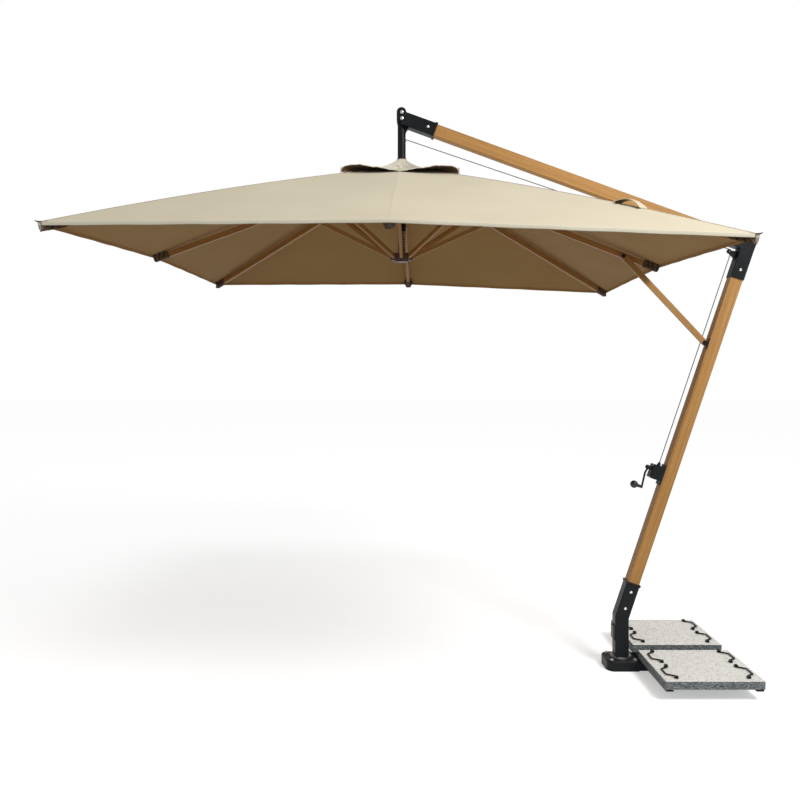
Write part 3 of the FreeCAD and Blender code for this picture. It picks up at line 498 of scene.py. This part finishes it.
def make_hem(index, columns):
    """Turned and stitched edge: a flat band that hangs a little below the canvas, dark on its inside."""
    spoke = SPOKES[index]
    rings = []
    for column in columns:
        edge = gore_point(index, column, 1)
        out = (edge - gore_point(index, column, 0.98)).normalized()
        centre = edge - UP * HEM_DROP * 0.42 + out * HEM_THICK * 0.2
        flat_out = (out * Vector((1, 1, 0))).normalized()
        rings.append(rounded_box_ring(centre, flat_out, UP, HEM_THICK / 2, HEM_DROP / 2, HEM_THICK * 0.45))
    points, faces = loft(rings)
    count = len(rings[0])
    inside = range(count // 4, count * 3 // 4)
    faces = [(face, int(number >= 2 and (number - 2) % count in inside)) for number, face in enumerate(faces)]
    return piece(f"hem_{spoke.number}", points, faces, [hem_canvas, under_canvas], spoke.body)


def make_seam(index):
    """Flat-felled seam over the rib, two rows of stitches raised along its edges."""
    spoke = SPOKES[index]
    rows = []
    for i in range(GORE_ROWS + 1):
        centre = gore_point(index, 0, i / GORE_ROWS)
        profile = ((-1, 0.0002), (-0.82, 0.0009), (-0.6, 0.0006), (0, 0.001), (0.6, 0.0006), (0.82, 0.0009), (1, 0.0002))
        rows.append([centre + spoke.tangent * SEAM_HALF * x + spoke.above * z for x, z in profile])
    points, faces = skin(rows, CLOTH * 0.5, 0)
    return piece(f"seam_{spoke.number}", points, faces, [outer_canvas], spoke.body)


# --- vent cap ---------------------------------------------------------------------------------------
CAP_CORNERS = [v.co.copy() for v in NODES["vent_cap"].data.vertices]
CAP_TOP = max(c.z for c in CAP_CORNERS)
RING_R = min(((c - AXIS) * Vector((1, 1, 0))).length for c in CAP_CORNERS)


def cap_edge(spoke):
    """Corner of the cap over a spoke, let down onto the canopy where it is tied."""
    over = [c for c in CAP_CORNERS if abs((c - AXIS).dot(spoke.tangent)) < 0.005]
    corner = max(over, key=lambda c: ((c - AXIS).dot(spoke.radial), c.z)).copy()
    share = ((corner - AXIS).dot(spoke.radial) - (spoke.inner - AXIS).dot(spoke.radial)) / (
        (spoke.rim - spoke.inner).dot(spoke.radial))
    corner.z = spoke.canvas_top(share).z + 0.006
    return corner


def cap_point(here, there, u, radius_share):
    """Cap surface between two spokes; the free edge arches up nearer to the corner spoke."""
    is_corner = here.number % 2 == 0
    from_corner = u if is_corner else 1 - u
    arch = math.sin(math.pi * from_corner ** 0.45) if 0 < from_corner < 1 else 0.0
    edge = cap_edge(here).lerp(cap_edge(there), u)
    out = ((edge - AXIS) * Vector((1, 1, 0)))
    start = AXIS + out.normalized() * RING_R + UP * CAP_TOP
    point = start.lerp(edge, radius_share)
    point.z -= 0.030 * math.sin(math.pi * radius_share ** 0.75)
    point.z += CAP_LIFT * arch * radius_share ** 1.6
    crease = math.sin(6 * math.pi * u + 1.3 * here.number) + 0.7 * math.sin(14 * math.pi * u + here.number)
    crease *= math.sin(math.pi * u) ** 0.6
    point.z += 0.005 * crease * math.sin(math.pi * radius_share ** 0.6) + 0.002 * crease * radius_share ** 2
    return point


def cap_share(here, there, u, radius):
    """Share of the way from the ring to the cap's edge at which a radius is reached."""
    edge = ((cap_edge(here).lerp(cap_edge(there), u) - AXIS) * Vector((1, 1, 0))).length
    return (radius - RING_R) / (edge - RING_R)


def make_cap_gore(index):
    spoke = SPOKES[index]
    before, after = neighbours(index)
    rows = []
    columns = list(gore_columns(20, 1.15))
    for i in range(CAP_ROWS + 1):
        row = []
        for column in columns:
            pair = (before, spoke, 1 + column) if column < 0 else (spoke, after, column)
            start = cap_share(*pair, CROWN_EDGE - 0.006)
            row.append(cap_point(*pair, start + (1 - start) * i / CAP_ROWS))
        rows.append(row)
    points, faces = skin(rows, CLOTH)
    # the cap gore's underside is painted shade
    gore = piece(f"cap_gore_{spoke.number}", points, faces, [cap_canvas, cap_underside_painted_shade], spoke.body)
    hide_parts("vent_cap")
    piping_rings = []
    for column_points in (rows[-1],):
        for j, edge in enumerate(column_points):
            out = ((edge - AXIS) * Vector((1, 1, 0))).normalized()
            piping_rings.append(rounded_box_ring(edge - UP * 0.001, out, UP, 0.0016, 0.0022, 0.0014))
    points, faces = loft(piping_rings)
    piping = piece(f"cap_piping_{spoke.number}", points, faces, [cap_canvas], spoke.body)
    seam_rows = []
    for i in range(CAP_ROWS + 1):
        centre = rows[i][len(columns) // 2]
        seam_rows.append([centre + spoke.tangent * x + UP * z for x, z in
                          ((-0.006, 0.0003), (-0.003, 0.0016), (0, 0.0022), (0.003, 0.0016), (0.006, 0.0003))])
    points, faces = skin(seam_rows, CLOTH * 0.5, 0)
    seam = piece(f"cap_seam_{spoke.number}", points, faces, [hem_canvas], spoke.body)
    for obj in (gore, piping, seam):
        folds_with(obj)


def make_crown():
    """The cap's middle, a cone that stays on the stub pole when the canopy shuts."""
    rows = []
    steps = 10
    per_panel = 8
    for i in range(steps + 1):
        row = []
        for index in range(8):
            here, there = SPOKES[index], neighbours(index)[1]
            for j in range(per_panel):
                u = j / per_panel
                last = cap_share(here, there, u, CROWN_EDGE)
                row.append(cap_point(here, there, u, last * i / steps) + UP * 0.0017)
        row.append(row[0].copy())
        rows.append(row)
    # the crown's underside is painted shade
    points, faces = skin(rows, CLOTH)
    crown = piece("cap_crown", points, faces, [cap_canvas, cap_underside_painted_shade], "post")
    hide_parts("vent_cap")
    band = turned("cap_ring", AXIS + UP * CAP_TOP, UP,
                  [(-0.004, STUB_R + 0.0006), (-0.004, RING_R + 0.002), (0.004, RING_R + 0.001), (0.0065, RING_R - 0.0005),
                   (0.0065, STUB_R + 0.0006)], [ring_cloth], "post", 48)


# --- ends of ribs and struts --------------------------------------------------------------------------
def under_canvas_point(index, along, across):
    """A point just under the canvas, above the rib at a distance from its pivot and off to one side."""
    spoke = SPOKES[index]
    over = (spoke.on_rib(along, COVER_GAP) - spoke.inner).dot(spoke.radial)
    share = min(over / (spoke.rim - spoke.inner).dot(spoke.radial), 1.0)
    before, after = neighbours(index)
    beside = after if across > 0 else before
    width = (beside.canvas_top(share) - spoke.canvas_top(share)).length
    point = gore_point(index, across / width, share)
    return point - spoke.above * (CLOTH + 0.0012)


def pocket_side(index, along, side, half_top):
    """One side of a pocket, from the rib's lower corner up to the canvas."""
    spoke = SPOKES[index]
    foot = spoke.on_rib(along, -RIB_HALF[1] - 0.003, side * 0.0145)
    top = under_canvas_point(index, along, side * half_top)
    middle = foot.lerp(top, 0.5) - spoke.tangent * side * 0.003
    return [foot, foot.lerp(middle, 0.5), middle, middle.lerp(top, 0.5), top]


def make_rib_pocket(index):
    """Canvas pocket that holds the rib's end: gussets spread from the rib up to the canopy's underside."""
    spoke = SPOKES[index]
    is_corner = spoke.number % 2 == 0
    length = 0.1 if is_corner else 0.078
    spread = 0.040 if is_corner else 0.034
    rings = []
    for i in range(9):
        t = i / 8
        along = spoke.length - length + (length + 0.004) * t
        half_top = 0.0145 + (spread - 0.0145) * t
        left = pocket_side(index, along, -1, half_top)
        right = pocket_side(index, along, 1, half_top)
        rings.append(left + [under_canvas_point(index, along, 0.0001)] + right[::-1])
    points, faces = loft(rings)
    pocket = piece(f"rib_pocket_{spoke.number}", points, faces, [pocket_cloth], spoke.body, 50)
    make_rib_sleeve(spoke, length)
    for number, share in enumerate((0.25, 0.6, 0.93), 1):
        for side in (-1, 1):
            along = spoke.length - length + length * share
            half_top = 0.0145 + (spread - 0.0145) * share
            start = pocket_side(index, along - 0.010, side, half_top)[-1] + spoke.tangent * side * 0.001
            end = spoke.on_rib(along + 0.006, -RIB_HALF[1] - 0.002, side * 0.0158)
            make_tape(f"pocket_tape_{spoke.number}_{number}{'ab'[side > 0]}", start, end, spoke)
    return pocket


def make_rib_sleeve(spoke, length):
    """The pocket's inner sleeve, close round the rib's end."""
    rings = []
    for along, grow in ((-length - 0.012, 0.0008), (-length - 0.010, 0.0018), (-0.004, 0.0018), (0.0006, 0.0008)):
        rings.append(rounded_box_ring(spoke.on_rib(spoke.length + along), spoke.tangent, spoke.above,
                                      RIB_HALF[0] + grow, RIB_HALF[1] + grow, 0.0022))
    points, faces = loft(rings)
    piece(f"rib_sleeve_{spoke.number}", points, faces, [pocket_cloth], spoke.body)


def make_tape(name, start, end, spoke):
    """Narrow binding tape sewn from the canvas down to the rib."""
    side = spoke.tangent
    across = (end - start).normalized().cross(side).normalized()
    rings = [rounded_box_ring(p, across, side, 0.0035, 0.0014, 0.001) for p in (start, start.lerp(end, 0.5), end)]
    points, faces = loft(rings)
    piece(name, points, faces, [pocket_tape], spoke.body)


def make_rib_tip(spoke):
    """Moulded cap on the rib's end."""
    is_corner = spoke.number % 2 == 0
    start = spoke.length + 0.0005
    shrink = 0.003 if is_corner else -0.001
    rings = []
    for along, inset in ((0, 0), (0.004, 0.0005), (0.0075, 0.003), (0.0085, 0.006)):
        inset += shrink
        rings.append(rounded_box_ring(spoke.on_rib(start + along, -0.001), spoke.tangent, spoke.above,
                                      RIB_HALF[0] - inset, RIB_HALF[1] - inset, 0.004, 4))
    points, faces = loft(rings)
    material = tip_grey if is_corner else tip_plastic
    piece(f"rib_tip_{spoke.number}", points, faces, [material], spoke.body)


def make_corner_flap(spoke):
    """Pointed reinforcing flap over a corner, stiff enough to stand out past the rim and turn up."""
    rings = []
    for share in (0, 0.25, 0.5, 0.75, 1):
        past = -0.034 + 0.049 * share
        half = 0.017 * (1 - share ** 1.5) + 0.002
        centre = spoke.rim + spoke.along * past - spoke.above * (0.006 - 0.013 * share ** 2)
        rings.append(rounded_box_ring(centre, spoke.tangent, spoke.above, half, 0.0035 - 0.0015 * share, 0.0018))
    points, faces = loft(rings)
    piece(f"corner_flap_{spoke.number}", points, faces, [pocket_tape], spoke.body)


def make_strut_clevis(spoke):
    """Bracket under the rib: two cheeks either side of the strut, with a pin through."""
    from_pivot = spoke.strut_top - spoke.pivot
    along = from_pivot.dot(spoke.along)
    drop = -from_pivot.dot(spoke.above)
    for side in (-1, 1):
        outline = [(-0.022, -RIB_HALF[1]), (0.022, -RIB_HALF[1])]
        for i in range(9):
            angle = math.radians(180 * i / 8)
            outline.append((0.010 * math.cos(angle), -drop - 0.010 * math.sin(angle)))
        rings = []
        for offset in (0.0094, 0.0109):
            rings.append([spoke.on_rib(along + x, z, side * offset) for x, z in outline])
        points, faces = loft(rings)
        piece(f"strut_cheek_{spoke.number}_{'ab'[side > 0]}", points, faces, [hub_bronze], spoke.body)
        turned(f"strut_pin_{spoke.number}_{'ab'[side > 0]}", spoke.strut_top + spoke.tangent * side * 0.0108,
               spoke.tangent * side, [(0, 0.0052), (0.0016, 0.005), (0.0028, 0.0032), (0.0031, 0.0005)],
               [pin_steel], spoke.body, 20)


def make_pull_loop(spoke):
    """Loop of canvas sewn along the hip near the mast, standing up from the seam."""
    length, height, half_width = 0.145, 0.027, 0.034
    middle = 0.717
    rows = []
    for i in range(25):
        t = i / 24
        share = middle + (t - 0.5) * length / spoke.reach
        base = spoke.canvas_top(share)
        lift = height * math.sin(math.pi * t) ** 0.8 + 0.0015
        slim = half_width * (1 - 0.35 * math.sin(math.pi * t))
        rows.append([base + spoke.above * (lift - 0.002 * abs(x)) + spoke.tangent * slim * x for x in
                     (-1, -0.6, -0.2, 0.2, 0.6, 1)])
    points, faces = skin(rows, 0.003)
    # the loop's inside is painted shade, for the dark where the loop hides it from the light
    loop = piece(f"pull_loop", points, faces, [outer_canvas, cap_underside_painted_shade], spoke.body)
    return folds_with(loop)


# --- fittings for the brace, the winch and the cover plate ---------------------------------------------
def nodes_center(name):
    low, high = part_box(name)
    return (Vector(low) + Vector(high)) / 2


def make_brace_catch():
    """Peg on the rib that the brace's upper end hooks over."""
    side = -SPOKES[0].tangent
    pivot = Vector(JOINTS["brace_fold"]["pos_m"])
    corners = [v.co for v in NODES["brace"].data.vertices]
    centre = sum((Vector(c) for c in corners), Vector()) / len(corners)
    along = (centre - pivot).normalized()
    far = max(corners, key=lambda c: (c - pivot).dot(along))
    end = pivot + along * ((far - pivot).dot(along) - 0.016)
    turned("brace_peg", end + side * -0.018, side,
           [(0, 0.005), (0.0285, 0.005), (0.0290, 0.011), (0.0345, 0.0115), (0.037, 0.0095), (0.0375, 0.002)],
           [black_coat], "rib_1", 24)


def make_winch_trim():
    """Screws on the winch's front, and a domed cap on the crank's boss."""
    joint = JOINTS["crank_turn"]
    out = -Vector(joint["axis"])
    centre = Vector(joint["pos_m"])
    across = out.cross(UP).normalized()
    along = across.cross(out).normalized()
    if along.z < 0:
        along = -along
    turned("crank_cap", centre + out * 0.0278, out, [(0, 0.0115), (0.002, 0.0112), (0.0045, 0.008), (0.0055, 0.002)],
           [black_coat], "crank", 32)
    low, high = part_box("winch_housing")
    for dx, dz in ((-0.026, 0.021), (0.036, 0.021), (-0.026, -0.048), (0.036, -0.048)):
        place = centre + along * dz + across * dx
        turned(f"winch_screw_{'a' if dx < 0 else 'b'}{'a' if dz < 0 else 'b'}", place, out,
               [(-0.0005, 0.0034), (0.0012, 0.0034), (0.0022, 0.0022), (0.0023, 0.0016), (0.0012, 0.0014)],
               [pin_steel], "post", 20)


def make_plate_screws():
    """Two screws on the blank cover plate."""
    low, high = (Vector(c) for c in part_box("cover_plate"))
    normal = Vector((-1, 0, 0))
    swing = math.atan2(SPOKES[0].tangent.x, SPOKES[0].tangent.y)
    normal.rotate(Matrix.Rotation(-swing, 3, "Z"))
    centre = (low + high) / 2
    face = max((v.co - centre).dot(normal) for v in NODES["cover_plate"].data.vertices)
    for name, dz in (("top", 0.034), ("bottom", -0.022)):
        turned(f"plate_screw_{name}", centre + normal * face + UP * dz, normal,
               [(-0.0005, 0.0036), (0.001, 0.0036), (0.0019, 0.0024), (0.001, 0.0015)], [pin_steel], "post", 20)


# --- CAD finishes -----------------------------------------------------------------------------------
def long_axis(name):
    """Direction of a long straight node."""
    points = np.array([v.co for v in NODES[name].data.vertices])
    direction = np.linalg.svd(points - points.mean(0), full_matrices=False)[2][0]
    return Vector(direction).normalized()


def paint(name, material):
    mesh = NODES[name].data
    mesh.materials.clear()
    mesh.materials.append(material)


def paint_all():
    finishes = {
        black_coat: ["base_hub", "base_frame", "lower_post", "elbow_bracket", "head_bracket", "stub_pole",
                     "pulley_bracket", "winch_housing", "rope_guide", "brace_bracket", "crank", "handle_sockets"],
        bolt_steel: ["base_bolts", "sleeve_bolts", "head_screws"],
        pin_steel: ["swivel_spindle", "stub_stop_screw", "pulley_axles", "top_hub_pins", "winch_drum"],
        hub_bronze: ["top_hub", "runner_hub"],
        buffer_rubber: ["runner_buffer"],
        black_plastic: ["crank_knob", "head_pulley", "elbow_pulley"],
        plate_coat: ["cover_plate"],
        stone: ["slab_front", "slab_rear"],
        rope_braid: ["hoist_rope", "runner_rope"],
        outer_canvas: ["canopy", "vent_cap"],
    }
    finishes[black_coat] += [f"handle_{k}" for k in range(1, 9)]
    for material, names in finishes.items():
        for name in names:
            paint(name, material)
    beams = ["mast", "arm", "brace"] + [f"rib_{k}" for k in range(1, 9)] + [f"strut_{k}" for k in range(1, 9)]
    for number, name in enumerate(beams):
        paint(name, timber(f"timber {name}", long_axis(name), 1.0 - 0.035 * (number % 3)))


# --- light, floor and camera ------------------------------------------------------------------------
def area_light(name, place, target, size, power, color=(1, 1, 1)):
    light = bpy.data.lights.new(name, "AREA")
    light.energy = power
    light.shape = "DISK"
    light.size = size
    light.color = color
    lamp = bpy.data.objects.new(name, light)
    lamp.location = place
    lamp.rotation_euler = (Vector(target) - Vector(place)).to_track_quat("-Z", "Y").to_euler()
    bpy.context.scene.collection.objects.link(lamp)


def soft_sun(name, towards, strength, spread):
    light = bpy.data.lights.new(name, "SUN")
    light.energy = strength
    light.angle = math.radians(spread)
    lamp = bpy.data.objects.new(name, light)
    lamp.rotation_euler = Vector(towards).to_track_quat("Z", "Y").to_euler()
    bpy.context.scene.collection.objects.link(lamp)


def studio():
    world = bpy.data.worlds.new("studio")
    bpy.context.scene.world = world
    world.use_nodes = True
    tree = world.node_tree
    background = tree.nodes["Background"]
    path = tree.nodes.new("ShaderNodeLightPath")
    seen = tree.nodes.new("ShaderNodeMath")
    seen.operation = "MAXIMUM"
    tree.links.new(path.outputs["Is Camera Ray"], seen.inputs[0])
    tree.links.new(path.outputs["Is Transmission Ray"], seen.inputs[1])
    level = tree.nodes.new("ShaderNodeMapRange")
    level.inputs["To Min"].default_value = 0.48
    level.inputs["To Max"].default_value = 1.0
    tree.links.new(seen.outputs[0], level.inputs["Value"])
    tree.links.new(level.outputs["Result"], background.inputs["Strength"])
    background.inputs["Color"].default_value = (1, 1, 1, 1)
    area_light("key", (2.2, -3.6, 5.0), (-0.6, 0, 2.2), 1.8, 175)
    soft_sun("sun", (0.3, -0.6, 1.0), 0.3, 20)

    bpy.ops.mesh.primitive_plane_add(size=60, location=(-0.5, 0, 0))
    floor = bpy.context.object
    floor.name = "floor"
    finish = Finish("pale floor", roughness=0.9)
    finish.shader.inputs["Specular IOR Level"].default_value = 0.0
    path = finish.node("ShaderNodeLightPath")
    seen = finish.maths("MAXIMUM", path.outputs["Is Camera Ray"], path.outputs["Is Glossy Ray"])
    finish.color(finish.mix(seen, (0.35, 0.35, 0.35), (1.0, 1.0, 1.0)))
    finish.shader.inputs["Emission Color"].default_value = (1, 1, 1, 1)
    finish.link(finish.maths("MULTIPLY", seen, 0.42), finish.shader.inputs["Emission Strength"])
    floor.data.materials.append(finish.material)


def camera():
    data = bpy.data.cameras.new("camera")
    data.lens = CAMERA_LENS
    data.sensor_width = 36
    data.shift_x, data.shift_y = CAMERA_SHIFT
    data.clip_end = 200
    obj = bpy.data.objects.new("camera", data)
    obj.location = CAMERA_PLACE
    obj.rotation_euler = (math.radians(90), 0, 0)
    bpy.context.scene.collection.objects.link(obj)
    bpy.context.scene.camera = obj


# --- build ------------------------------------------------------------------------------------------
camera()
studio()
bpy.context.scene.view_settings.view_transform = "Standard"
paint_all()
for index, spoke in enumerate(SPOKES):
    make_gore(index)
    make_cap_gore(index)
    make_rib_pocket(index)
    make_rib_tip(spoke)
    if spoke.number % 2 == 0:
        make_corner_flap(spoke)
    make_strut_clevis(spoke)
make_crown()
make_pull_loop(SPOKES[7])
make_brace_catch()
make_winch_trim()
make_plate_screws()
